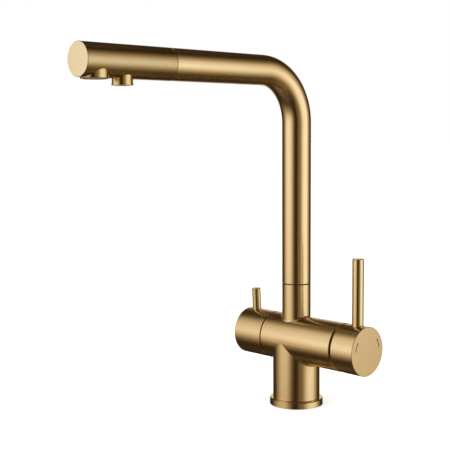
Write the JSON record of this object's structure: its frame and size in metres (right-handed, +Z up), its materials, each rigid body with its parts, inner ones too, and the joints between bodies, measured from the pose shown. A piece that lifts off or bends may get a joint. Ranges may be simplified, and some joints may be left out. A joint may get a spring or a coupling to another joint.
{
  "type": "three way filtered water tap",
  "caption": "Kitchen sink tap with a swivelling right-angled spout, a mixer lever for hot and cold water and a quarter-turn lever for filtered water from its own outlet.",
  "frame": {"origin": "centre of the base's underside, where it sits on the sink or worktop", "axes": "+Z up along the column, +X along the cross-body towards the mixer handle, -Y along the spout at rest"},
  "size_m": [0.1513, 0.2788, 0.3365],
  "materials": {
    "brushed_gold": "brushed gold coating",
    "head_gold": "brushed gold coating, a little duller",
    "polished_gold": "polished gold coating",
    "plain_brass": "machined",
    "black_rubber": "matt",
    "stainless_steel": "satin",
    "white_plastic": "satin",
    "grey_plastic": "matt",
    "dark_plastic": "matt",
    "ceramic": "ground and lapped",
    "hot_red": "painted",
    "cold_blue": "painted"
  },
  "bodies": {
    "fixed": {"base_flange": "brushed_gold", "base_seal": "black_rubber", "tap_body": "brushed_gold", "filter_tube_seal": "black_rubber", "swivel_bearing_ring": "dark_plastic", "spout_retaining_screw": "stainless_steel", "mixer_cartridge_base": "white_plastic", "mixer_port_seals": "black_rubber", "mixer_fixed_disc": "ceramic", "mixer_cartridge_housing": "white_plastic", "mixer_retaining_nut": "plain_brass", "filter_valve_body": "plain_brass", "filter_seat_seal": "black_rubber", "filter_fixed_disc": "ceramic"},
    "spout": {"spout_swivel_insert": "plain_brass", "spout_o_rings": "black_rubber", "spout_tube": "brushed_gold", "spout_head": "head_gold", "head_joint_seal": "black_rubber", "main_aerator_housing": "polished_gold", "main_aerator_insert": "grey_plastic", "main_aerator_gasket": "black_rubber", "filter_outlet_nozzle": "polished_gold", "filter_outlet_insert": "grey_plastic", "filter_outlet_elbow": "plain_brass", "filtered_water_tube": "white_plastic"},
    "mixer_rotor": {"mixer_rotor": "white_plastic", "mixer_pivot_pin": "stainless_steel"},
    "mixer_disc": {"mixer_moving_disc": "ceramic", "mixer_disc_carrier": "white_plastic"},
    "mixer_handle": {"mixer_stem": "stainless_steel", "mixer_handle_cap": "brushed_gold", "hot_mark": "hot_red", "cold_mark": "cold_blue", "mixer_lever_pin": "brushed_gold", "mixer_set_screw": "stainless_steel"},
    "filter_handle": {"filter_moving_disc": "ceramic", "filter_spindle": "plain_brass", "filter_spindle_o_rings": "black_rubber", "filter_spindle_circlip": "stainless_steel", "filter_handle_cap": "brushed_gold", "filter_lever_pin": "brushed_gold", "filter_set_screw": "stainless_steel"}
  },
  "joints": [
    {"name": "spout_swivel", "type": "hinge", "parent": "fixed", "child": "spout", "pos_m": [0, 0, 0.1192], "axis": [0, 0, 1], "continuous": true},
    {"name": "mixer_temperature", "type": "hinge", "parent": "fixed", "child": "mixer_rotor", "pos_m": [0.044, 0, 0.0645], "axis": [1, 0, 0], "range_deg": [-45, 45]},
    {"name": "mixer_flow", "type": "hinge", "parent": "mixer_rotor", "child": "mixer_handle", "pos_m": [0.044, 0, 0.0645], "axis": [0, 1, 0], "range_deg": [0, 20]},
    {"name": "mixer_disc_slide", "type": "slide", "parent": "mixer_rotor", "child": "mixer_disc", "axis": [0, 0, 1], "range_m": [0, 0.0024]},
    {"name": "filter_lever", "type": "hinge", "parent": "fixed", "child": "filter_handle", "pos_m": [-0.0282, 0, 0.0645], "axis": [1, 0, 0], "range_deg": [0, 90]}
  ],
  "couplings": [
    {"joint": "mixer_disc_slide", "follows": "mixer_flow", "m_per_rad": 0.00647}
  ]
}
